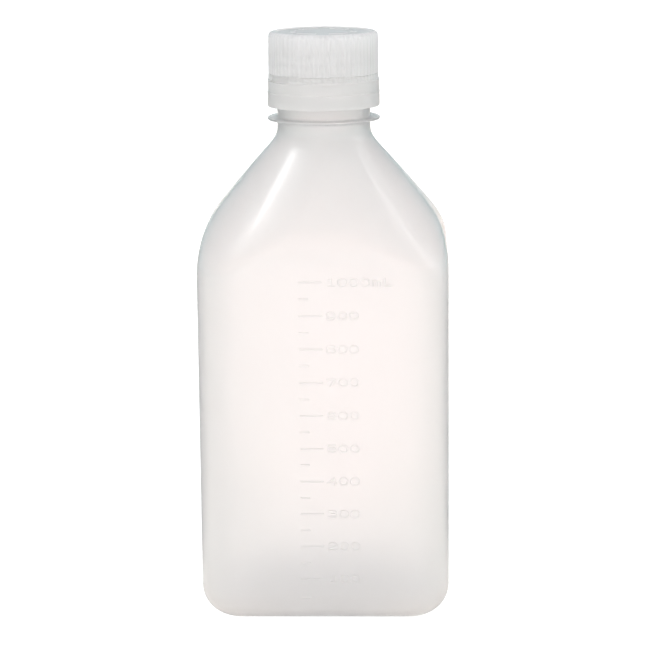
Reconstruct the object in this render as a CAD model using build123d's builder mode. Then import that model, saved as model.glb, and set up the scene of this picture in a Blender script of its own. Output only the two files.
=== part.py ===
from build123d import *
import math
import os

# Square graduated bottle, 1000 mL, translucent polypropylene, with a ribbed
# screw cap and a tamper-evident band on a 38 mm neck.
# Millimetres, +Z up, origin at the middle of the base, graduated face to -Y.

os.makedirs("parts", exist_ok=True)

# ---------------------------------------------------------------- bottle body
BODY_W = 92.44          # square body, across the flats
BODY_R = 15.5           # vertical corner radius
BASE_R = 11.5           # rounding between the walls and the base
WALL = 0.90             # blown wall of the body
BASE_T = 1.30           # base panel
BODY_TOP = 126.0        # end of the straight walls
PUSH_INSET = 16.5       # base ring: from the body side to the pushed-up panel
PUSH_DEPTH = 2.6        # height of the pushed-up panel

# shoulder sections: height, half width across the flats, corner radius, and the
# wall measured sideways, which grows where the wall slopes and nears the neck
SHOULDER = (
    (126.0, 46.22, 15.50, 0.90),
    (128.0, 46.22, 15.62, 0.91),
    (130.0, 46.21, 16.05, 0.91),
    (132.0, 46.19, 17.04, 0.92),
    (134.0, 46.12, 18.80, 0.92),
    (136.0, 45.96, 21.31, 0.96),
    (138.0, 45.68, 24.34, 1.00),
    (140.0, 45.27, 27.53, 1.05),
    (142.0, 44.71, 30.40, 1.10),
    (144.0, 43.97, 32.55, 1.14),
    (146.0, 43.00, 33.86, 1.18),
    (148.0, 41.77, 34.33, 1.21),
    (150.0, 40.33, 34.11, 1.24),
    (152.5, 38.39, 33.31, 1.26),
    (155.0, 36.35, 32.12, 1.28),
    (158.0, 33.87, 30.54, 1.30),
    (161.0, 31.37, 28.91, 1.32),
    (164.0, 28.85, 27.25, 1.35),
    (167.0, 26.28, 25.36, 1.38),
    (170.0, 23.63, 23.11, 1.50),
    (172.5, 21.37, 21.06, 1.60),
    (174.5, 19.61, 19.29, 1.77),
    (176.0, 18.56, 18.43, 1.90),
    (177.2, 17.97, 17.87, 2.01),
    (178.2, 17.54, 17.43, 2.10),
    (179.2, 17.44, 17.34, 2.15),
    (180.2, 17.40, 17.30, 2.20),
)

# ---------------------------------------------------------------- neck finish
NECK_E = 34.80          # neck diameter between the threads
NECK_T = 37.20          # thread diameter
NECK_BORE = 30.40       # clear mouth
LAND_Z = 213.75         # sealing land
FLANGE_R = 20.99        # neck support ring
FLANGE_Z0, FLANGE_Z1 = 182.75, 183.85
BEAD_R = 18.85          # bead that holds the tamper band down
BEAD_Z0, BEAD_Z1 = 192.4, 195.0
PITCH = 25.4 / 6        # six threads to the inch
THREAD_TURNS = 1.75
THREAD_Z = 203.1        # middle of the thread at its lower end

# ------------------------------------------------- graduations, front face
TICK_Z0 = 5.32          # height of an extrapolated zero mark
TICK_PITCH = 12.387     # height of 100 mL
TICK_50_Z = 10.40       # lowest mark, nearer the base rounding
TICK_X = -8.30          # left end of every mark
TICK_LONG, TICK_SHORT = 8.40, 3.40
MARK_W = 0.44           # width of a raised line
MARK_H = 0.22           # how far it stands proud
TEXT_X, TEXT_PITCH = 1.85, 4.20
DIGIT_W, DIGIT_H = 2.85, 2.55     # between stroke centres

# ---------------------------------------------------------------- screw cap
CAP_R = 20.51           # over the ribs
CAP_ROOT_R = 20.22      # between the ribs
CAP_TOP = 215.64
CAP_RIM = 200.20        # lower rim of the cap, the tear line
CAP_EDGE_R = 2.10       # rounding between top and side
CAP_T = 1.70            # top panel
CAP_INNER_R = 18.92     # thread root of the cap
RIBS = 64
CAP_THREAD_R = 17.78    # thread crest of the cap
CAP_THREAD_TURNS = 1.5
PLUG_R, PLUG_T, PLUG_H = 14.90, 1.00, 3.0

# ---------------------------------------------------------------- tamper band
BAND_Z0, BAND_Z1 = 187.90, 198.20     # plain ring
BAND_TOP = 200.02                     # ends of the parted bridges
BAND_STEP_Z = 193.40
BAND_R_LOW, BAND_R_STEP, BAND_R_TOP = 20.97, 20.86, 20.76
BAND_INNER_R = 19.25
BAND_HOLD_R = 18.15                   # inner rim that grips below the bead
WINDOW_HALF = 16.0                    # half angle of each open window
WINDOW_AT = (-146.0, 34.0)            # middle of the windows, degrees from +X


# raised figures as strokes on a unit square
LOOP = ((0.25, 0), (0.75, 0), (1, 0.28), (1, 0.72), (0.75, 1), (0.25, 1), (0, 0.72),
        (0, 0.28), (0.25, 0))
STROKES = {
    "0": (LOOP,),
    "1": (((0.28, 0.74), (0.58, 1), (0.58, 0)), ((0.25, 0), (0.9, 0))),
    "2": (((0, 0.8), (0.22, 1), (0.78, 1), (1, 0.8), (1, 0.62), (0, 0.2), (0, 0), (1, 0)),),
    "3": (((0, 0.85), (0.2, 1), (0.78, 1), (0.97, 0.82), (0.97, 0.66), (0.78, 0.53),
           (0.35, 0.53)),
          ((0.78, 0.53), (1, 0.38), (1, 0.17), (0.78, 0), (0.2, 0), (0, 0.15))),
    "4": (((0.76, 0), (0.76, 1), (0, 0.3), (1, 0.3)),),
    "5": (((0.95, 1), (0.05, 1), (0, 0.56), (0.76, 0.6), (1, 0.42), (1, 0.2), (0.76, 0),
           (0.2, 0), (0, 0.15)),),
    "6": (((0.95, 0.86), (0.76, 1), (0.25, 1), (0, 0.75), (0, 0.25), (0.25, 0), (0.76, 0),
           (1, 0.2), (1, 0.38), (0.76, 0.57), (0.02, 0.57)),),
    "7": (((0, 1), (1, 1), (0.36, 0)),),
    "8": (((0.22, 0.54), (0.78, 0.54), (0.95, 0.68), (0.95, 0.86), (0.78, 1), (0.22, 1),
           (0.05, 0.86), (0.05, 0.68), (0.22, 0.54)),
          ((0.78, 0.54), (1, 0.38), (1, 0.17), (0.78, 0), (0.22, 0), (0, 0.17), (0, 0.38),
           (0.22, 0.54))),
    "9": (((0.05, 0.14), (0.24, 0), (0.75, 0), (1, 0.25), (1, 0.75), (0.75, 1), (0.24, 1),
           (0, 0.8), (0, 0.62), (0.24, 0.43), (0.98, 0.43)),),
    "m": (((0, 0), (0, 0.72)), ((0, 0.58), (0.14, 0.7), (0.38, 0.7), (0.5, 0.58), (0.5, 0)),
          ((0.5, 0.58), (0.64, 0.7), (0.88, 0.7), (1, 0.58), (1, 0))),
    "L": (((0, 1), (0, 0), (0.9, 0)),),
}


def raised_line(p, q):
    """One straight stroke between two points of the front face."""
    dx, dy = q[0] - p[0], q[1] - p[1]
    with Locations(((p[0] + q[0]) / 2, (p[1] + q[1]) / 2)):
        Rectangle(math.hypot(dx, dy) + MARK_W * 0.62, MARK_W,
                  rotation=math.degrees(math.atan2(dy, dx)))


def figures(text, x, z):
    """Raised figures, left edge at x, centred on the height z."""
    for k, ch in enumerate(text):
        for path in STROKES[ch]:
            pts = [(x + k * TEXT_PITCH + u * DIGIT_W, z + (v - 0.5) * DIGIT_H)
                   for u, v in path]
            for p, q in zip(pts, pts[1:]):
                raised_line(p, q)


def rounded_square(half, radius):
    """Square outline of the given half width with rounded corners."""
    RectangleRounded(2 * half, 2 * half, radius)


# =============================================================== bottle shell
with BuildPart() as outer_form:
    with BuildSketch(Plane.XY):
        rounded_square(BODY_W / 2, BODY_R)
    extrude(amount=BODY_TOP)
    fillet(outer_form.faces().sort_by(Axis.Z)[0].edges(), radius=BASE_R)
    for z, half, r, t in SHOULDER:
        with BuildSketch(Plane.XY.offset(z)):
            rounded_square(half, r)
    loft(ruled=True)
    with BuildSketch(Plane.XY.offset(SHOULDER[-1][0] - 0.8)):
        Circle(NECK_E / 2)
    extrude(amount=LAND_Z - SHOULDER[-1][0] + 0.8)
    lip = outer_form.faces().filter_by(Axis.Z).sort_by(Axis.Z)[-1].edges()
    fillet(lip, radius=0.5)

with BuildPart() as inner_form:
    with BuildSketch(Plane.XY.offset(BASE_T)):
        rounded_square(BODY_W / 2 - WALL, BODY_R - WALL)
    extrude(amount=BODY_TOP - BASE_T)
    fillet(inner_form.faces().sort_by(Axis.Z)[0].edges(), radius=BASE_R - WALL)
    for z, half, r, t in SHOULDER:
        with BuildSketch(Plane.XY.offset(z)):
            rounded_square(half - t, r - t)
    loft(ruled=True)
    with BuildSketch(Plane.XY.offset(SHOULDER[-1][0] - 0.8)):
        Circle(NECK_BORE / 2)
    extrude(amount=LAND_Z - SHOULDER[-1][0] + 3.0)
    # lead-in at the mouth
    with BuildSketch(Plane.XZ):
        with BuildLine():
            Polyline((NECK_BORE / 2 - 1.0, LAND_Z - 0.5), (NECK_BORE / 2, LAND_Z - 0.5),
                     (NECK_BORE / 2 + 0.5, LAND_Z), (NECK_BORE / 2 + 0.5, LAND_Z + 1.0),
                     (NECK_BORE / 2 - 1.0, LAND_Z + 1.0), close=True)
        make_face()
    revolve(axis=Axis.Z)

# pushed-up base panel: a shallow pyramid with soft edges, the same amount
# taken from below and added inside
with BuildPart() as push_below:
    with BuildSketch(Plane.XY.offset(-1.0)):
        rounded_square(BODY_W / 2 - PUSH_INSET + 0.6, 8.0)
    with BuildSketch(Plane.XY.offset(PUSH_DEPTH)):
        rounded_square(BODY_W / 2 - PUSH_INSET - 5.0, 6.0)
    loft(ruled=True)

with BuildPart() as push_above:
    with BuildSketch(Plane.XY.offset(BASE_T - 1.0)):
        rounded_square(BODY_W / 2 - PUSH_INSET + 1.4, 9.0)
    with BuildSketch(Plane.XY.offset(PUSH_DEPTH + BASE_T)):
        rounded_square(BODY_W / 2 - PUSH_INSET - 4.4, 7.0)
    loft(ruled=True)

with BuildPart() as male_thread:
    with BuildLine():
        helix = Helix(PITCH, PITCH * THREAD_TURNS, NECK_E / 2,
                      center=(0, 0, THREAD_Z))
    with BuildSketch(Plane(origin=helix @ 0, x_dir=(1, 0, 0), z_dir=helix % 0)):
        with BuildLine():
            Polyline((-0.6, -1.30), (NECK_T / 2 - NECK_E / 2, -0.55),
                     (NECK_T / 2 - NECK_E / 2, 0.55), (-0.6, 1.30), close=True)
        make_face()
    sweep(is_frenet=True)

with BuildPart() as graduations:
    for ml in range(50, 1001, 50):
        z = TICK_50_Z if ml == 50 else TICK_Z0 + TICK_PITCH * ml / 100
        length = TICK_LONG if ml % 100 == 0 else TICK_SHORT
        with BuildSketch(Plane.XZ.offset(BODY_W / 2 - 0.25)):
            raised_line((TICK_X, z), (TICK_X + length, z))
            if ml % 100 == 0:
                figures("%d" % ml + ("mL" if ml == 1000 else ""), TEXT_X, z)
        extrude(amount=0.25 + MARK_H)

with BuildPart() as bottle:
    add(outer_form.part)
    add(inner_form.part, mode=Mode.SUBTRACT)
    # support ring
    with BuildSketch(Plane.XZ):
        with BuildLine():
            Polyline((NECK_E / 2 - 1.0, FLANGE_Z0 - 0.75),
                     (NECK_E / 2 + 0.05, FLANGE_Z0 - 0.75),
                     (NECK_E / 2 + 0.75, FLANGE_Z0),
                     (FLANGE_R - 0.35, FLANGE_Z0 + 0.05),
                     (FLANGE_R, FLANGE_Z0 + 0.40),
                     (FLANGE_R, FLANGE_Z1 - 0.35),
                     (FLANGE_R - 0.35, FLANGE_Z1),
                     (NECK_E / 2 + 0.45, FLANGE_Z1 + 0.10),
                     (NECK_E / 2 + 0.02, FLANGE_Z1 + 0.50),
                     (NECK_E / 2 - 1.0, FLANGE_Z1 + 0.50), close=True)
        make_face()
    revolve(axis=Axis.Z)
    # bead above the band's grip
    with BuildSketch(Plane.XZ):
        with BuildLine():
            Polyline((NECK_E / 2 - 1.0, BEAD_Z0 - 0.1), (NECK_E / 2 + 0.02, BEAD_Z0 - 0.1),
                     (BEAD_R - 0.2, BEAD_Z0), (BEAD_R, BEAD_Z0 + 0.25),
                     (BEAD_R, BEAD_Z0 + 0.75), (NECK_E / 2 + 0.02, BEAD_Z1),
                     (NECK_E / 2 - 1.0, BEAD_Z1), close=True)
        make_face()
    revolve(axis=Axis.Z)
    add(male_thread.part)
    add(push_above.part)
    add(push_below.part, mode=Mode.SUBTRACT)
    add(graduations.part)

bottle.part.label = "bottle"
print("bottle solids", len(bottle.part.solids()), "volume", bottle.part.volume)
export_step(bottle.part, "parts/bottle.step")


# ================================================================== screw cap
CEILING = CAP_TOP - CAP_T

with BuildPart() as cap_envelope:
    with BuildSketch(Plane.XZ):
        with BuildLine():
            side = Polyline((0, CAP_TOP), (0, CAP_RIM), (CAP_R, CAP_RIM),
                            (CAP_R, CAP_TOP - CAP_EDGE_R))
            RadiusArc(side @ 1, (CAP_R - CAP_EDGE_R, CAP_TOP), -CAP_EDGE_R)
            Line((CAP_R - CAP_EDGE_R, CAP_TOP), (0, CAP_TOP))
        make_face()
    revolve(axis=Axis.Z)

with BuildPart() as cap_ribs:
    with BuildSketch(Plane.XY.offset(CAP_RIM)):
        with PolarLocations(CAP_R - 0.5, RIBS, start_angle=180 / RIBS):
            Circle(0.5)
    extrude(amount=CAP_TOP - CAP_RIM - 0.35)
    add(cap_envelope.part, mode=Mode.INTERSECT)

with BuildPart() as female_thread:
    with BuildLine():
        helix = Helix(PITCH, PITCH * CAP_THREAD_TURNS, CAP_INNER_R,
                      center=(0, 0, THREAD_Z))
    with BuildSketch(Plane(origin=helix @ 0, x_dir=(1, 0, 0), z_dir=helix % 0)):
        with BuildLine():
            Polyline((0.5, -1.05), (CAP_THREAD_R - CAP_INNER_R, -0.45),
                     (CAP_THREAD_R - CAP_INNER_R, 0.45), (0.5, 1.05), close=True)
        make_face()
    sweep(is_frenet=True)

with BuildPart() as cap:
    with BuildSketch(Plane.XZ):
        with BuildLine():
            inside = Polyline((0, CAP_TOP - 0.30), (0, CEILING), (PLUG_R - PLUG_T, CEILING),
                              (PLUG_R - PLUG_T, CEILING - PLUG_H + 0.5),
                              (PLUG_R - PLUG_T + 0.35, CEILING - PLUG_H),
                              (PLUG_R - 0.55, CEILING - PLUG_H),
                              (PLUG_R, CEILING - PLUG_H + 0.9),
                              (PLUG_R - 0.1, CEILING), (CAP_INNER_R, CEILING),
                              (CAP_INNER_R, CAP_RIM), (CAP_ROOT_R, CAP_RIM),
                              (CAP_ROOT_R, CAP_TOP - CAP_EDGE_R))
            RadiusArc(inside @ 1, (CAP_ROOT_R - 1.95, CAP_TOP), -2.03)
            Polyline((CAP_ROOT_R - 1.95, CAP_TOP), (17.60, CAP_TOP), (17.30, CAP_TOP - 0.30),
                     (0, CAP_TOP - 0.30))
        make_face()
    revolve(axis=Axis.Z)
    add(cap_ribs.part)
    add(female_thread.part, rotation=(0, 0, 180))
    # plain raised turning marks on the top
    with BuildSketch(Plane.XY.offset(CAP_TOP - 0.45)):
        with PolarLocations(0, 6):
            with BuildLine():
                CenterArc((0, 0), 12.6, -19, 38)
                Line((12.6 * math.cos(math.radians(19)), 12.6 * math.sin(math.radians(19))),
                     (10.6 * math.cos(math.radians(19)), 10.6 * math.sin(math.radians(19))))
                CenterArc((0, 0), 10.6, 19, -38)
                Line((10.6 * math.cos(math.radians(19)), -10.6 * math.sin(math.radians(19))),
                     (12.6 * math.cos(math.radians(19)), -12.6 * math.sin(math.radians(19))))
            make_face()
    extrude(amount=0.45)

cap.part.label = "cap"
print("cap solids", len(cap.part.solids()), "volume", cap.part.volume)
export_step(cap.part, "parts/cap.step")

# ================================================================ tamper band
with BuildPart() as band_ribs:
    with BuildSketch(Plane.XY.offset(BAND_Z1 - 0.4)):
        with PolarLocations(CAP_R - 0.5, RIBS, start_angle=180 / RIBS):
            Circle(0.5)
    extrude(amount=BAND_TOP - BAND_Z1 + 0.4)

with BuildPart() as tamper_band:
    with BuildSketch(Plane.XZ):
        with BuildLine():
            Polyline((CAP_ROOT_R, BAND_TOP), (CAP_ROOT_R, BAND_Z1),
                     (BAND_R_TOP - 0.12, BAND_Z1), (BAND_R_TOP, BAND_Z1 - 0.15),
                     (BAND_R_TOP + 0.03, BAND_STEP_Z + 0.10), (BAND_R_STEP, BAND_STEP_Z - 0.05),
                     (BAND_R_LOW, BAND_Z0 + 0.25), (BAND_R_LOW - 0.20, BAND_Z0),
                     (19.85, BAND_Z0), (19.65, BAND_Z0 + 0.55),
                     (BAND_HOLD_R, 190.9), (BAND_HOLD_R, 191.9),
                     (19.45, 191.95), (19.65, 192.4), (19.45, 198.6), (BAND_INNER_R, 199.2),
                     (BAND_INNER_R, BAND_TOP), close=True)
        make_face()
    revolve(axis=Axis.Z)
    add(band_ribs.part)
    # open windows between the bridges
    with BuildSketch(Plane.XY.offset(BAND_Z1 - 0.75)):
        for at in WINDOW_AT:
            with BuildLine():
                a0, a1 = math.radians(at - WINDOW_HALF), math.radians(at + WINDOW_HALF)
                Polyline((17.0 * math.cos(a0), 17.0 * math.sin(a0)),
                         (25.0 * math.cos(a0), 25.0 * math.sin(a0)),
                         (25.0 * math.cos(a1), 25.0 * math.sin(a1)),
                         (17.0 * math.cos(a1), 17.0 * math.sin(a1)), close=True)
            make_face()
    extrude(amount=4.0, mode=Mode.SUBTRACT)

tamper_band.part.label = "tamper_band"
print("band solids", len(tamper_band.part.solids()), "volume", tamper_band.part.volume)
export_step(tamper_band.part, "parts/tamper_band.step")
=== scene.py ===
import math
import bpy
import numpy as np
from mathutils import Vector, Matrix


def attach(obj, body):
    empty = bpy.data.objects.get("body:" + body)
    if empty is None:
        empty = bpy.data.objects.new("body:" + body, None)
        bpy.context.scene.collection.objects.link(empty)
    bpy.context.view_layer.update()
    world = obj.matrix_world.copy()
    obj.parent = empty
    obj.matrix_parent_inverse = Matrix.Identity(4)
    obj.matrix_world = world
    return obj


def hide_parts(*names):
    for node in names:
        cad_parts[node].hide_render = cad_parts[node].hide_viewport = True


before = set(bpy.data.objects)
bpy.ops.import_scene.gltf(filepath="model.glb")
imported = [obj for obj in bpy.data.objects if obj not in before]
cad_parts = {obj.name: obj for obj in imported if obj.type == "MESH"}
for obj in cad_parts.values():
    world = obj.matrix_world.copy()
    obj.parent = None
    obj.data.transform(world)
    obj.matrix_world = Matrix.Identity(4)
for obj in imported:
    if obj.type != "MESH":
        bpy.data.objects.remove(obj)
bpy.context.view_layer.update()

MM = 0.001
scene = bpy.context.scene
scene.view_settings.view_transform = "Standard"
scene.view_settings.look = "None"
scene.view_settings.exposure = 0.0
scene.view_settings.gamma = 1.0

# =============================================================== dimensions (mm)
BODY_W, BODY_R, BASE_R, WALL, BASE_T = 92.44, 15.5, 11.5, 0.90, 1.30
BODY_TOP = 126.0
NECK_E, BORE, LAND_Z = 17.40, 15.20, 213.75
PITCH = 25.4 / 6
SHOULDER = np.array([
    (120.0, 46.22, 15.50, 0.90), (123.0, 46.22, 15.50, 0.90),
    (126.0, 46.22, 15.50, 0.90), (128.0, 46.22, 15.62, 0.90), (130.0, 46.21, 16.05, 0.91),
    (132.0, 46.19, 17.04, 0.92), (134.0, 46.12, 18.80, 0.92), (136.0, 45.96, 21.31, 0.96),
    (138.0, 45.68, 24.34, 1.00), (140.0, 45.27, 27.53, 1.05), (142.0, 44.71, 30.40, 1.10),
    (144.0, 43.97, 32.55, 1.14), (146.0, 43.00, 33.86, 1.18), (148.0, 41.77, 34.33, 1.21),
    (150.0, 40.33, 34.11, 1.24), (152.5, 38.39, 33.31, 1.26), (155.0, 36.35, 32.12, 1.28),
    (158.0, 33.87, 30.54, 1.30), (161.0, 31.37, 28.91, 1.32), (164.0, 28.85, 27.25, 1.35),
    (167.0, 26.28, 25.36, 1.38), (170.0, 23.63, 23.11, 1.50), (172.5, 21.37, 21.06, 1.60),
    (174.5, 19.61, 19.29, 1.77), (176.0, 18.56, 18.43, 1.90), (177.2, 17.97, 17.87, 2.00),
    (178.2, 17.54, 17.46, 2.10), (179.2, 17.44, 17.42, 2.15), (180.2, 17.40, 17.40, 2.20),
    (181.6, 17.40, 17.40, 2.20)])


def gauss_smooth(z, zs, ys, sigma):
    """Samples of a table, smoothed with a small Gaussian so that no section shows a crease."""
    zz = np.arange(zs[0], zs[-1], 0.05)
    yy = np.interp(zz, zs, ys)
    k = np.exp(-0.5 * (np.arange(-60, 61) * 0.05 / sigma) ** 2)
    k /= k.sum()
    pad = np.concatenate([np.full(60, yy[0]), yy, np.full(60, yy[-1])])
    return np.interp(z, zz, np.convolve(pad, k, mode="valid"))


def section(z):
    z = np.atleast_1d(z)
    half = gauss_smooth(z, SHOULDER[:, 0], SHOULDER[:, 1], 0.8)
    rad = gauss_smooth(z, SHOULDER[:, 0], SHOULDER[:, 2], 0.8)
    t = gauss_smooth(z, SHOULDER[:, 0], SHOULDER[:, 3], 0.8)
    return half, np.minimum(rad, half), t


# ================================================================= mesh helpers
def polar(n_quarter):
    """Directions round the axis, closer together at the four corners."""
    s = np.linspace(-1, 1, n_quarter, endpoint=False)
    a = 45 + 45 * (0.62 * s + 0.38 * s ** 3)
    return np.radians(np.concatenate([a + 90 * k for k in range(4)]))


def rounded(th, half, rad):
    """Distance from the axis to a rounded square, for each direction."""
    c, s = np.abs(np.cos(th)), np.abs(np.sin(th))
    fl = max(half - rad, 0.0)
    hi, lo = np.maximum(c, s), np.minimum(c, s)
    flat = half / hi
    b = fl * (c + s)
    k = b + np.sqrt(np.maximum(b * b - (2 * fl * fl - rad * rad), 0))
    return np.where(flat * lo <= fl, flat, k)


def shell(name, rings, closed_start=None, closed_end=None, loop=False):
    """A closed mesh from rings of equal length; each end goes to a point, or the last joins the first."""
    n = len(rings[0])
    verts = np.concatenate(rings)
    m = len(rings)
    i = np.arange(n)
    j = (i + 1) % n
    quads = []
    pairs = [(k, k + 1) for k in range(m - 1)] + ([(m - 1, 0)] if loop else [])
    for a, b in pairs:
        quads.append(np.stack([a * n + i, a * n + j, b * n + j, b * n + i], 1))
    faces = [tuple(f) for f in np.concatenate(quads).tolist()]
    verts = verts.tolist()
    if closed_start is not None:
        verts.append(list(closed_start))
        p = len(verts) - 1
        faces += [(p, int(b), int(a)) for a, b in zip(i, j)]
    if closed_end is not None:
        verts.append(list(closed_end))
        p = len(verts) - 1
        o = (m - 1) * n
        faces += [(p, int(o + a), int(o + b)) for a, b in zip(i, j)]
    me = bpy.data.meshes.new(name)
    me.from_pydata([tuple(c * MM for c in v) for v in verts], [], faces)
    me.validate()
    me.update()
    me.shade_smooth()
    ob = bpy.data.objects.new(name, me)
    scene.collection.objects.link(ob)
    # outward normals, whichever way the rings ran
    import bmesh
    bm = bmesh.new()
    bm.from_mesh(me)
    bmesh.ops.recalc_face_normals(bm, faces=bm.faces)
    if bm.calc_volume(signed=True) < 0:
        bmesh.ops.reverse_faces(bm, faces=bm.faces)
    bm.to_mesh(me)
    bm.free()
    return ob


def ring(th, r, z):
    return np.stack([r * np.cos(th), r * np.sin(th), np.broadcast_to(z, th.shape)], 1)


def smoothstep(t):
    t = np.clip(t, 0, 1)
    return t * t * (3 - 2 * t)


# ======================================================================= bottle
def thread_height(th, z, z0, turns, crest, root_w, crest_w, start=0.0):
    """Height of a right-hand thread over its cylinder; the ends run out smoothly."""
    a = (th - start) % (2 * math.pi)
    out = np.zeros_like(th)
    for k in range(int(turns) + 2):
        phase = a + 2 * math.pi * k
        zc = z0 + PITCH * phase / (2 * math.pi)
        d = np.abs(z - zc)
        prof = smoothstep((root_w - d) / (root_w - crest_w))
        ends = smoothstep(phase / 0.45) * smoothstep((2 * math.pi * turns - phase) / 0.45)
        out = np.maximum(out, crest * prof * ends)
    return out


def make_bottle():
    th = polar(76)
    R = []
    # pushed-up base panel
    for h in (4, 9, 14, 19, 22.5):
        R.append(ring(th, rounded(th, h, min(6.0, h)), 2.6))
    for t in np.linspace(0, 1, 13):
        R.append(ring(th, rounded(th, 24.0 + 5.2 * t, 6 + 1.5 * t), 2.6 * (1 - smoothstep(t))))
    for h, r in ((30.5, 6.8), (32.2, 5.8), (33.8, 4.7)):
        R.append(ring(th, rounded(th, h, r), 0.0))
    for psi in np.radians(np.linspace(0, 90, 19)):
        R.append(ring(th, rounded(th, BODY_W / 2 - BASE_R + BASE_R * math.sin(psi),
                                  BODY_R - BASE_R + BASE_R * math.sin(psi)),
                      BASE_R * (1 - math.cos(psi))))
    for z in np.linspace(BASE_R, BODY_TOP, 34)[1:]:
        R.append(ring(th, rounded(th, BODY_W / 2, BODY_R), z))
    zs = np.arange(BODY_TOP + 0.8, 181.0, 0.8)
    for z, h, r, t in zip(zs, *section(zs)):
        R.append(ring(th, rounded(th, h, r), z))
    ones = np.ones_like(th)
    # support ring
    for r, z in ((17.40, 181.5), (17.45, 181.95), (17.70, 182.4), (18.2, 182.68), (19.2, 182.80),
                 (20.3, 182.86), (20.75, 182.93), (20.93, 183.05), (20.99, 183.22), (20.98, 183.45),
                 (20.90, 183.65), (20.65, 183.80), (20.2, 183.87), (19.0, 183.92), (18.1, 184.00),
                 (17.65, 184.15), (17.45, 184.4), (17.40, 184.8), (17.40, 186.5), (17.40, 188.5),
                 (17.40, 190.5), (17.40, 191.9), (17.45, 192.25), (18.0, 192.36), (18.55, 192.42),
                 (18.78, 192.55), (18.85, 192.75), (18.85, 193.1), (18.72, 193.35), (18.2, 193.9),
                 (17.75, 194.4), (17.48, 194.8), (17.40, 195.2), (17.40, 197.0), (17.40, 199.0),
                 (17.40, 200.8)):
        R.append(ring(th, r * ones, z))
    for z in np.arange(201.1, 212.6, 0.19):
        R.append(ring(th, NECK_E + thread_height(th, z, 203.1, 1.75, 1.2, 1.15, 0.55), z))
    for r, z in ((17.40, 212.9), (17.36, 213.3), (17.22, 213.56), (17.0, 213.70), (16.75, 213.75),
                 (16.3, 213.75), (15.85, 213.75), (15.6, 213.66), (15.35, 213.45), (15.22, 213.2),
                 (15.20, 212.8)):
        R.append(ring(th, r * ones, z))
    for z in np.arange(211.5, 181.0, -2.2):
        R.append(ring(th, BORE * ones, z))
    zs = np.arange(181.0, BODY_TOP, -1.2)
    for z, h, r, t in zip(zs, *section(zs)):
        R.append(ring(th, rounded(th, h - t, max(r - t, 1)), z))
    for z in np.linspace(BODY_TOP, BASE_T + 10.6, 24):
        R.append(ring(th, rounded(th, BODY_W / 2 - WALL, BODY_R - WALL), z))
    for psi in np.radians(np.linspace(90, 0, 14))[1:]:
        R.append(ring(th, rounded(th, BODY_W / 2 - WALL - 10.6 + 10.6 * math.sin(psi),
                                  BODY_R - WALL - 10.6 + 10.6 * math.sin(psi)),
                      BASE_T + 10.6 * (1 - math.cos(psi))))
    for h, r in ((33.0, 5.4), (31.6, 6.6), (30.6, 7.2)):
        R.append(ring(th, rounded(th, h, r), BASE_T))
    for t in np.linspace(1, 0, 13):
        R.append(ring(th, rounded(th, 24.6 + 5.2 * t, 6.4 + 1.5 * t), BASE_T + 2.6 * (1 - smoothstep(t))))
    for h in (22.8, 19, 14, 9, 4):
        R.append(ring(th, rounded(th, h, min(6.4, h)), BASE_T + 2.6))
    return shell("bottle_shell", R, closed_start=(0, 0, 2.6), closed_end=(0, 0, BASE_T + 2.6))


# raised figures: strokes on a unit square, the same as the CAD model's
LOOP = ((0.25, 0), (0.75, 0), (1, 0.28), (1, 0.72), (0.75, 1), (0.25, 1), (0, 0.72), (0, 0.28), (0.25, 0))
STROKES = {
    "0": (LOOP,),
    "1": (((0.28, 0.74), (0.58, 1), (0.58, 0)), ((0.25, 0), (0.9, 0))),
    "2": (((0, 0.8), (0.22, 1), (0.78, 1), (1, 0.8), (1, 0.62), (0, 0.2), (0, 0), (1, 0)),),
    "3": (((0, 0.85), (0.2, 1), (0.78, 1), (0.97, 0.82), (0.97, 0.66), (0.78, 0.53), (0.35, 0.53)),
          ((0.78, 0.53), (1, 0.38), (1, 0.17), (0.78, 0), (0.2, 0), (0, 0.15))),
    "4": (((0.76, 0), (0.76, 1), (0, 0.3), (1, 0.3)),),
    "5": (((0.95, 1), (0.05, 1), (0, 0.56), (0.76, 0.6), (1, 0.42), (1, 0.2), (0.76, 0), (0.2, 0), (0, 0.15)),),
    "6": (((0.95, 0.86), (0.76, 1), (0.25, 1), (0, 0.75), (0, 0.25), (0.25, 0), (0.76, 0), (1, 0.2), (1, 0.38),
           (0.76, 0.57), (0.02, 0.57)),),
    "7": (((0, 1), (1, 1), (0.36, 0)),),
    "8": (((0.22, 0.54), (0.78, 0.54), (0.95, 0.68), (0.95, 0.86), (0.78, 1), (0.22, 1), (0.05, 0.86), (0.05, 0.68),
           (0.22, 0.54)), ((0.78, 0.54), (1, 0.38), (1, 0.17), (0.78, 0), (0.22, 0), (0, 0.17), (0, 0.38), (0.22, 0.54))),
    "9": (((0.05, 0.14), (0.24, 0), (0.75, 0), (1, 0.25), (1, 0.75), (0.75, 1), (0.24, 1), (0, 0.8), (0, 0.62),
           (0.24, 0.43), (0.98, 0.43)),),
    "m": (((0, 0), (0, 0.72)), ((0, 0.58), (0.14, 0.7), (0.38, 0.7), (0.5, 0.58), (0.5, 0)),
          ((0.5, 0.58), (0.64, 0.7), (0.88, 0.7), (1, 0.58), (1, 0))),
    "L": (((0, 1), (0, 0), (0.9, 0)),),
}


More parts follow.
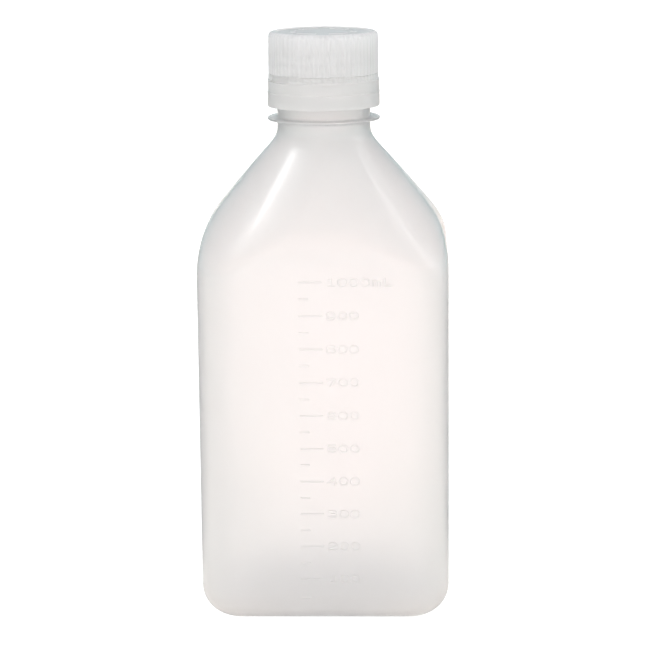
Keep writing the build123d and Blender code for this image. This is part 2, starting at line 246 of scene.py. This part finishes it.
def camera():
    """Camera fitted to the bottle's outline and marks; the front face is turned 1.9 degrees to one side."""
    yaw, pitch, roll = math.radians(-1.94), math.radians(11.70), math.radians(0.567)

    def to_row(v):
        x, y, z = v
        return Vector((x * math.cos(yaw) + y * math.sin(yaw), -x * math.sin(yaw) + y * math.cos(yaw), z))

    pos = to_row((-0.338, -944.9, 299.6)) * MM
    fwd = to_row((0, math.cos(pitch), -math.sin(pitch)))
    right0 = to_row((1, 0, 0))
    up0 = to_row((0, math.sin(pitch), math.cos(pitch)))
    right = right0 * math.cos(roll) - up0 * math.sin(roll)
    up = right0 * math.sin(roll) + up0 * math.cos(roll)
    cam = bpy.data.cameras.new("camera")
    cam.sensor_fit = "HORIZONTAL"
    cam.sensor_width = 36.0
    cam.lens = 2536.3 / 650 * 36.0
    cam.clip_start, cam.clip_end = 0.05, 50
    ob = bpy.data.objects.new("camera", cam)
    m = Matrix((right, up, -fwd)).transposed().to_4x4()
    m.translation = pos
    ob.matrix_world = m
    scene.collection.objects.link(ob)
    scene.camera = ob
    return ob


camera()

# ================================================================== look, in numbers
BODY_ROUGH, BODY_TRANS, BODY_ABSORB, BODY_MILK = 0.335, 0.85, 25.0, 0.10
CAP_TRANS, CAP_ABSORB, CAP_MILK, COAT = 0.65, 10.0, 0.30, 0.35
BAND_ABSORB, BAND_MILK = 15.0, 0.24
# Light levels by bearing (degrees from straight behind the bottle) at three heights, and on the floor.
BEARINGS = (0, 20, 40, 60, 80, 100, 130, 180)
LOW = [(0.442, 0.705, 0.734), (0.255, 0.543, 0.565), (0.265, 0.553, 0.581), (0.421, 0.695, 0.733),
       (0.608, 0.868, 0.909), (0.803, 1.047, 1.088), (0.992, 1.215, 1.251), (1.118, 1.319, 1.349)]
HIGH = [(1.025, 0.839, 0.893), (0.939, 0.788, 0.826), (0.941, 0.827, 0.841), (1.189, 1.076, 1.078),
        (1.471, 1.336, 1.329), (1.740, 1.579, 1.558), (1.966, 1.771, 1.731), (2.080, 1.858, 1.806)]
TOP = (0.860, 0.990, 1.045)
FLOOR_BEARINGS = (0, 12, 24, 36, 50, 70, 90, 135, 180)
FLOOR_FAR = [(1.130, 0.803, 0.749), (1.208, 1.037, 0.913), (0.137, 0.146, 0.104), (0.01, 0.01, 0.01),
             (0.01, 0.01, 0.01), (0.01, 0.01, 0.01), (1.088, 1.064, 0.979), (1.448, 1.433, 1.383),
             (1.452, 1.356, 1.380)]
# Right under the bottle the floor's light is about half the rest: a painted contact shadow in the floor's light.
FLOOR_NEAR, FLOOR_UNDER_PAINTED_SHADOW = (0.930, 0.845, 0.775), (0.520, 0.510, 0.512)

# ==================================================================== materials
def plastic(name, color, rough=0.45, trans=0.6, coat=0.8, coat_rough=0.16, sss=0.0, sss_scale=0.003,
            grain=0.02, grain_scale=900.0, cloud=0.015, milk=0.0, absorb=0.0, absorb_color=(0.0, 0.0, 0.0)):
    """Milky moulded polypropylene: blurred see-through body under a smoother skin."""
    m = bpy.data.materials.new(name)
    m.use_nodes = True
    nt = m.node_tree
    b = nt.nodes["Principled BSDF"]
    b.inputs["IOR"].default_value = 1.49
    b.inputs["Transmission Weight"].default_value = trans
    b.inputs["Subsurface Weight"].default_value = sss
    b.inputs["Subsurface Scale"].default_value = sss_scale
    b.inputs["Coat Weight"].default_value = coat
    b.inputs["Coat Roughness"].default_value = coat_rough
    b.inputs["Coat IOR"].default_value = 1.49
    tc = nt.nodes.new("ShaderNodeTexCoord")
    n1 = nt.nodes.new("ShaderNodeTexNoise")
    n1.inputs["Scale"].default_value = 22.0
    n1.inputs["Detail"].default_value = 3.0
    nt.links.new(tc.outputs["Object"], n1.inputs["Vector"])
    mx = nt.nodes.new("ShaderNodeMix")
    mx.data_type = "RGBA"
    mx.inputs["A"].default_value = (*color, 1)
    mx.inputs["B"].default_value = (*[c * (1 - cloud) for c in color], 1)
    nt.links.new(n1.outputs["Fac"], mx.inputs["Factor"])
    nt.links.new(mx.outputs["Result"], b.inputs["Base Color"])
    mr = nt.nodes.new("ShaderNodeMapRange")
    mr.inputs["To Min"].default_value = rough - 0.02
    mr.inputs["To Max"].default_value = rough + 0.02
    nt.links.new(n1.outputs["Fac"], mr.inputs["Value"])
    nt.links.new(mr.outputs["Result"], b.inputs["Roughness"])
    n2 = nt.nodes.new("ShaderNodeTexNoise")
    n2.inputs["Scale"].default_value = grain_scale
    n2.inputs["Detail"].default_value = 4.0
    nt.links.new(tc.outputs["Object"], n2.inputs["Vector"])
    bp = nt.nodes.new("ShaderNodeBump")
    bp.inputs["Strength"].default_value = grain
    bp.inputs["Distance"].default_value = 0.0004
    nt.links.new(n2.outputs["Fac"], bp.inputs["Height"])
    nt.links.new(bp.outputs["Normal"], b.inputs["Normal"])
    if milk:
        tr = nt.nodes.new("ShaderNodeBsdfTranslucent")
        tr.inputs["Color"].default_value = (*color, 1)
        mix = nt.nodes.new("ShaderNodeMixShader")
        mix.inputs[0].default_value = milk
        nt.links.new(b.outputs["BSDF"], mix.inputs[1])
        nt.links.new(tr.outputs["BSDF"], mix.inputs[2])
        nt.links.new(mix.outputs["Shader"], nt.nodes["Material Output"].inputs["Surface"])
    if absorb:
        va = nt.nodes.new("ShaderNodeVolumeAbsorption")
        va.inputs["Color"].default_value = (*absorb_color, 1)
        va.inputs["Density"].default_value = absorb
        nt.links.new(va.outputs["Volume"], nt.nodes["Material Output"].inputs["Volume"])
    return m


body_mat = plastic("bottle_pp", (0.996, 0.990, 0.986), rough=BODY_ROUGH, trans=BODY_TRANS, coat=COAT,
                   coat_rough=0.14, milk=BODY_MILK, absorb=BODY_ABSORB)
cap_mat = plastic("cap_pp", (0.965, 0.966, 0.966), rough=0.40, trans=CAP_TRANS, coat=COAT, coat_rough=0.12,
                  milk=CAP_MILK, absorb=CAP_ABSORB)
band_mat = plastic("band_pp", (0.99, 0.99, 0.985), rough=0.34, trans=0.75, coat=COAT, coat_rough=0.10,
                   milk=BAND_MILK, absorb=BAND_ABSORB)


# ================================================================ raised figures
def capsule(a, b, rt, rb, y_top, y_bot):
    """A raised stroke from a to b (x, z in mm): rounded ends, sloping sides, a slightly crowned top."""
    d = np.array(b, float) - np.array(a, float)
    ln = float(np.hypot(*d))
    ang = math.atan2(d[1], d[0]) if ln > 1e-6 else 0.0
    n = 5
    out = []
    for r, y in ((rb, y_bot), (rb, y_top + 0.20), (rt + 0.06, y_top + 0.045), (rt * 0.55, y_top)):
        row = []
        for c, s0 in ((b, -math.pi / 2), (a, math.pi / 2)):
            for t in np.linspace(0, math.pi, n + 1):
                p = ang + s0 + t
                row.append((c[0] + r * math.cos(p), y, c[1] + r * math.sin(p)))
        out.append(row)
    m = len(out[0])
    verts = [v for row in out for v in row]
    faces = [tuple(range(m))[::-1], tuple(range(3 * m, 4 * m))]
    for k in range(3):
        for i in range(m):
            j = (i + 1) % m
            faces.append((k * m + i, k * m + j, (k + 1) * m + j, (k + 1) * m + i))
    return verts, faces


def mesh_of(name, verts, faces, merge=None):
    import bmesh
    me = bpy.data.meshes.new(name)
    me.from_pydata([tuple(float(c) * MM for c in v) for v in verts], [], faces)
    bm = bmesh.new()
    bm.from_mesh(me)
    if merge:
        bmesh.ops.remove_doubles(bm, verts=bm.verts, dist=merge)
    bmesh.ops.recalc_face_normals(bm, faces=bm.faces)
    if bm.calc_volume(signed=True) < 0:
        bmesh.ops.reverse_faces(bm, faces=bm.faces)
    bm.to_mesh(me)
    bm.free()
    ob = bpy.data.objects.new(name, me)
    scene.collection.objects.link(ob)
    return ob


def boolean(ob, other, op="UNION", keep_other=False):
    mod = ob.modifiers.new("bool", "BOOLEAN")
    mod.solver = "MANIFOLD"
    mod.operation = op
    mod.object = other
    dg = bpy.context.evaluated_depsgraph_get()
    me = bpy.data.meshes.new_from_object(ob.evaluated_get(dg))
    ob.modifiers.clear()
    old = ob.data
    ob.data = me
    bpy.data.meshes.remove(old)
    if not keep_other:
        bpy.data.objects.remove(other)
    return ob


FACE_Y = -BODY_W / 2
MARK_TOP = FACE_Y - 0.25
MARK_BOT = FACE_Y + 0.12
MARK_RT, MARK_RB = 0.13, 0.35
DIGIT_W, DIGIT_H, TEXT_X, TEXT_PITCH = 2.85, 2.55, 1.85, 4.20
TICK_X, LONG_TICK, SHORT_TICK = -8.30, 8.40, 3.40


def level(v):
    """Height of a volume mark."""
    return 10.40 if v == 50 else 5.32 + 12.387 * v / 100


def glyph(ch):
    """One figure with its lower left corner at the origin, its strokes joined into one closed piece."""
    out = None
    for line in STROKES[ch]:
        pts = [(x * DIGIT_W, z * DIGIT_H) for x, z in line]
        for a, b in zip(pts[:-1], pts[1:]):
            v, f = capsule(a, b, MARK_RT, MARK_RB, MARK_TOP, MARK_BOT)
            o = mesh_of("g", v, f)
            out = o if out is None else boolean(out, o)
    me = out.data
    v = np.empty(len(me.vertices) * 3)
    me.vertices.foreach_get("co", v)
    faces = [tuple(p.vertices) for p in me.polygons]
    bpy.data.objects.remove(out)
    return v.reshape(-1, 3) / MM, faces


def make_marks():
    verts, faces = [], []
    glyphs = {}

    def add(v, f, dx, dz):
        o = len(verts)
        verts.extend([(p[0] + dx, p[1], p[2] + dz) for p in v])
        faces.extend([tuple(i + o for i in q) for q in f])

    for vol in range(50, 1001, 50):
        z = level(vol)
        ln = LONG_TICK if vol % 100 == 0 else SHORT_TICK
        v, f = capsule((TICK_X + 0.22, 0), (TICK_X + ln - 0.22, 0), MARK_RT, MARK_RB, MARK_TOP, MARK_BOT)
        add(v, f, 0, z)
        if vol % 100 == 0:
            for k, ch in enumerate(str(vol) + ("mL" if vol == 1000 else "")):
                if ch not in glyphs:
                    glyphs[ch] = glyph(ch)
                v, f = glyphs[ch]
                add(v, f, TEXT_X + TEXT_PITCH * k, z - DIGIT_H / 2)
    return mesh_of("marks", verts, faces)


# =========================================================================== cap
CAP_R, CAP_ROOT, CAP_TOP, CAP_RIM, CAP_EDGE = 20.51, 20.22, 215.64, 200.20, 2.10
RIBS = 64
RIB_PHASE = math.radians(360 / RIBS / 2)


def rib(th):
    """Profile of the grip ribs round the cap, 0 between ribs and 1 on a crest."""
    pitch = 2 * math.pi / RIBS
    d = np.abs((th - RIB_PHASE + pitch / 2) % pitch - pitch / 2) * 20.2
    return np.sqrt(np.clip(1 - (d / 0.52) ** 2, 0, 1)) * 0.75 + 0.25 * smoothstep((0.72 - d) / 0.5)


def arcs(th, r):
    """Six plain raised arcs on the top panel."""
    a = np.abs((th + math.pi / 6) % (math.pi / 3) - math.pi / 6)
    side = smoothstep((math.radians(19.5) - a) / math.radians(1.6))
    return side * smoothstep((r - 10.45) / 0.3) * smoothstep((12.75 - r) / 0.3)


def make_cap():
    th = np.arange(RIBS * 12) / (RIBS * 12) * 2 * math.pi
    one = np.ones_like(th)
    R = []
    for r in (2, 4, 6, 8, 9.5, 10.3, 10.5, 10.62, 10.75, 10.9, 11.3, 11.8, 12.3, 12.45, 12.6, 12.72, 12.9,
              14, 15.5, 16.6, 17.15):
        R.append(ring(th, r * one, CAP_TOP - 0.30 + 0.26 * arcs(th, r)))
    for r, z in ((17.30, -0.29), (17.38, -0.25), (17.46, -0.14), (17.54, -0.04), (17.64, -0.005), (17.8, 0.0), (18.0, 0.0)):
        R.append(ring(th, r * one, CAP_TOP + z))
    rb = rib(th)
    c0 = CAP_ROOT - 2.0
    for psi in np.radians(np.linspace(4, 90, 18)):
        fade = smoothstep((math.degrees(psi) - 14) / 26)
        r = c0 + 2.0 * math.sin(psi) + (CAP_R - CAP_ROOT) * rb * fade * math.sin(psi)
        z = CAP_TOP - 2.02 + 2.02 * math.cos(psi) + (CAP_R - CAP_ROOT) * rb * fade * math.cos(psi) * 0.6
        R.append(ring(th, r, np.minimum(z, CAP_TOP)))
    for z in (212.6, 211.5, 210.0, 208.0, 206.0, 204.0, 202.4, 201.2, 200.55):
        R.append(ring(th, CAP_ROOT + (CAP_R - CAP_ROOT) * rb, z))
    R.append(ring(th, CAP_ROOT + (CAP_R - CAP_ROOT) * rb - 0.05, 200.30))
    R.append(ring(th, CAP_ROOT + (CAP_R - CAP_ROOT) * rb - 0.18, CAP_RIM))
    for r, z in ((19.6, CAP_RIM), (19.05, CAP_RIM + 0.02), (18.94, CAP_RIM + 0.12), (18.92, 200.6)):
        R.append(ring(th, r * one, z))
    for z in np.arange(200.9, 211.3, 0.21):
        R.append(ring(th, 18.92 - thread_height(th, z, 203.1, 1.5, 1.14, 1.1, 0.45, math.pi), z))
    for r, z in ((18.92, 211.6), (18.92, 213.2), (18.80, 213.65), (18.4, 213.9), (17.5, 213.94), (15.4, 213.94),
                 (14.98, 213.85), (14.88, 213.55), (14.90, 211.9), (14.75, 211.5), (14.4, 211.0), (14.2, 210.94),
                 (14.05, 211.05), (13.92, 211.4), (13.90, 213.4), (13.7, 213.85), (13.3, 213.94), (8.0, 213.94),
                 (3.0, 213.94)):
        R.append(ring(th, r * one, z))
    return shell("cap_shell", R, closed_start=(0, 0, CAP_TOP - 0.30), closed_end=(0, 0, 213.94))


# ================================================================== tamper band
def make_band():
    base = np.arange(RIBS * 8) / (RIBS * 8) * 2 * math.pi
    extra = []
    for at in (-146.0, 34.0):
        for e in (-16.0, 16.0):
            for off in (-0.5, -0.16, -0.05, 0.05, 0.16, 0.5):
                extra.append(math.radians(at + e + off) % (2 * math.pi))
    th = np.sort(np.unique(np.round(np.concatenate([base, extra]), 6)))
    one = np.ones_like(th)
    win = np.zeros_like(th)
    for at in (-146.0, 34.0):
        a = np.abs((np.degrees(th) - at + 180) % 360 - 180)
        win = np.maximum(win, smoothstep((16.05 - a) / 0.12))
    low = 197.45

    def top(z):
        """Heights above the window floor shrink onto it inside the windows."""
        return low + (z - low) * (1 - win * 0.995)

    rb = rib(th)
    R = []
    for r, z in ((19.85, 187.90), (20.2, 187.90), (20.62, 187.90), (20.82, 187.96), (20.93, 188.08), (20.97, 188.28),
                 (20.965, 189.5), (20.95, 190.7), (20.93, 191.9), (20.915, 192.9), (20.92, 193.05), (20.97, 193.15), (21.0, 193.30), (20.98, 193.45),
                 (20.90, 193.58), (20.80, 193.66), (20.79, 193.9), (20.785, 195.0), (20.78, 196.2), (20.775, 197.1)):
        R.append(ring(th, r * one, z))
    for r, z in ((20.78, 197.3), (20.85, 197.42), (20.88, 197.58), (20.86, 197.78), (20.76, 197.95), (20.64, 198.12)):
        R.append(ring(th, r * one, top(z)))
    for k, z in enumerate((198.20, 198.28, 198.40, 198.9, 199.4, 199.85, 200.02)):
        f = (0.45, 0.9, 1, 1, 1, 1, 1)[k]
        r = 20.22 + 0.29 * rb
        r = (1 - f) * 20.62 + f * r - (0.12 if z > 200 else 0)
        R.append(ring(th, r, top(z)))
    R.append(ring(th, 19.74 * one, top(200.02)))
    for r, z in ((19.70, 200.05), (19.64, 200.15), (19.38, 200.15), (19.28, 200.05), (19.25, 199.85), (19.25, 199.2),
                 (19.35, 198.9), (19.45, 198.6)):
        R.append(ring(th, r * one, z))
    for r, z in ((19.46, 197.4), (19.50, 195.5), (19.58, 194.0), (19.65, 192.4), (19.45, 191.95), (18.9, 191.92),
                 (18.3, 191.88), (18.16, 191.75), (18.15, 191.4), (18.2, 191.05), (18.4, 190.72), (18.9, 189.9),
                 (19.3, 189.2), (19.58, 188.6), (19.68, 188.3), (19.75, 188.0)):
        R.append(ring(th, r * one, z))
    return shell("band_shell", R, loop=True)


bottle = make_bottle()
marks = make_marks()
bottle = boolean(bottle, marks)
bottle.data.shade_smooth()
bottle.data.set_sharp_from_angle(angle=math.radians(24))
bottle.data.materials.clear()
bottle.data.materials.append(body_mat)
bottle.data.polygons.foreach_set("material_index", [0] * len(bottle.data.polygons))
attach(bottle, "bottle")
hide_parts("bottle")

cap = make_cap()
cap.data.materials.append(cap_mat)
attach(cap, "cap")
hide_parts("cap")

band = make_band()
band.data.materials.append(band_mat)
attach(band, "band")
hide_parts("tamper_band")

# ========================================================================= stage
def blend_to(nt, factor, color_a, color_b):
    mx = nt.nodes.new("ShaderNodeMix")
    mx.data_type = "RGBA"
    nt.links.new(factor, mx.inputs["Factor"])
    for key, c in (("A", color_a), ("B", color_b)):
        if hasattr(c, "links"):
            nt.links.new(c, mx.inputs[key])
        else:
            mx.inputs[key].default_value = (*c, 1)
    return mx.outputs["Result"]


def math_node(nt, op, *args):
    m = nt.nodes.new("ShaderNodeMath")
    m.operation = op
    for k, v in enumerate(args):
        if hasattr(v, "links"):
            nt.links.new(v, m.inputs[k])
        else:
            m.inputs[k].default_value = v
    return m.outputs[0]


def ramp(nt, value, lo, hi, stops, name):
    """Colour against a value, straight between the stops."""
    mr = nt.nodes.new("ShaderNodeMapRange")
    mr.inputs["From Min"].default_value = lo
    mr.inputs["From Max"].default_value = hi
    nt.links.new(value, mr.inputs["Value"])
    rp = nt.nodes.new("ShaderNodeValToRGB")
    rp.name = name
    rp.color_ramp.interpolation = "LINEAR"
    el = rp.color_ramp.elements
    for k, (pos, c) in enumerate(stops):
        e = el[k] if k < 2 else el.new(1.0)
        e.position = (pos - lo) / (hi - lo)
        e.color = (*c, 1)
    nt.links.new(mr.outputs["Result"], rp.inputs["Fac"])
    return rp.outputs["Color"]


def fade(nt, value, lo, hi, smooth=True):
    mr = nt.nodes.new("ShaderNodeMapRange")
    mr.interpolation_type = "SMOOTHSTEP" if smooth else "LINEAR"
    mr.inputs["From Min"].default_value = lo
    mr.inputs["From Max"].default_value = hi
    nt.links.new(value, mr.inputs["Value"])
    return mr.outputs["Result"]


def bearing_of(nt, vec):
    """Degrees from straight behind the object, the same on both sides."""
    sep = nt.nodes.new("ShaderNodeSeparateXYZ")
    nt.links.new(vec, sep.inputs["Vector"])
    ang = math_node(nt, "ARCTAN2", math_node(nt, "ABSOLUTE", sep.outputs["X"]), sep.outputs["Y"])
    return math_node(nt, "MULTIPLY", ang, 180 / math.pi), sep.outputs["Z"]


def camera_ray(nt):
    return nt.nodes.new("ShaderNodeLightPath").outputs["Is Camera Ray"]


me = bpy.data.meshes.new("floor")
s = 9.0
me.from_pydata([(-s, -s, 0), (s, -s, 0), (s, s, 0), (-s, s, 0)], [], [(0, 1, 2, 3)])
floor = bpy.data.objects.new("floor", me)
scene.collection.objects.link(floor)
fm = bpy.data.materials.new("floor")
fm.use_nodes = True
ft = fm.node_tree
fb = ft.nodes["Principled BSDF"]
fb.inputs["Base Color"].default_value = (0.35, 0.35, 0.35, 1)
fb.inputs["Roughness"].default_value = 0.9
fb.inputs["Specular IOR Level"].default_value = 0.0
fb.inputs["Emission Strength"].default_value = 1.0
geo = ft.nodes.new("ShaderNodeNewGeometry")
bear, _ = bearing_of(ft, geo.outputs["Position"])
far = ramp(ft, bear, 0, 180, list(zip(FLOOR_BEARINGS, FLOOR_FAR)), "far")
ln = ft.nodes.new("ShaderNodeVectorMath")
ln.operation = "LENGTH"
ft.links.new(geo.outputs["Position"], ln.inputs[0])
dist = ln.outputs["Value"]
# Round the bottle the floor's light steps to the near level, lower than the floor further out in front and behind.
# Right under the bottle it drops to about half: a painted contact shadow, seen only by light and reflections, not by
# the camera.
lit = blend_to(ft, fade(ft, dist, 0.06, 0.12), FLOOR_NEAR, far)
lit = blend_to(ft, fade(ft, dist, 0.03, 0.07), FLOOR_UNDER_PAINTED_SHADOW, lit)
ft.links.new(blend_to(ft, camera_ray(ft), lit, (0.9, 0.9, 0.9)), fb.inputs["Emission Color"])
me.materials.append(fm)

world = bpy.data.worlds.new("studio")
scene.world = world
world.use_nodes = True
wt = world.node_tree
bg = wt.nodes["Background"]
bg.inputs["Strength"].default_value = 1.0
wc = wt.nodes.new("ShaderNodeTexCoord")
bear, zz = bearing_of(wt, wc.outputs["Generated"])
low = ramp(wt, bear, 0, 180, list(zip(BEARINGS, LOW)), "low")
high = ramp(wt, bear, 0, 180, list(zip(BEARINGS, HIGH)), "high")
sky = blend_to(wt, fade(wt, zz, 0.05, 0.50, False), low, high)
sky = blend_to(wt, fade(wt, zz, 0.55, 0.90, False), sky, TOP)
wt.links.new(blend_to(wt, camera_ray(wt), sky, (1, 1, 1)), bg.inputs["Color"])


def softbox(name, az, el, dist, w, h, power, color=(1, 1, 1), target=(0, 0, 0.11), glint=False):
    """A soft light; azimuth 0 is in front of the graduated face, 90 to its right. A glint only shows in gloss."""
    l = bpy.data.lights.new(name, "AREA")
    l.shape = "RECTANGLE"
    l.size, l.size_y = w, h
    l.energy = power
    l.color = color
    o = bpy.data.objects.new(name, l)
    a, e = math.radians(az), math.radians(el)
    d = Vector((math.sin(a) * math.cos(e), -math.cos(a) * math.cos(e), math.sin(e)))
    o.location = Vector(target) + d * dist
    o.rotation_mode = "QUATERNION"
    o.rotation_quaternion = (-d).to_track_quat("-Z", "Y")
    if glint:
        o.visible_diffuse = False
        o.visible_transmission = False
    scene.collection.objects.link(o)
    return o


softbox("left_box", -99, 62.5, 1.2, 0.15, 0.385, 2.7, glint=True)
softbox("right_box", 108, 24, 1.3, 0.085, 1.50, 2.5, glint=True)
softbox("right_spot", 91, 32, 1.2, 0.20, 0.12, 0.6, glint=True)
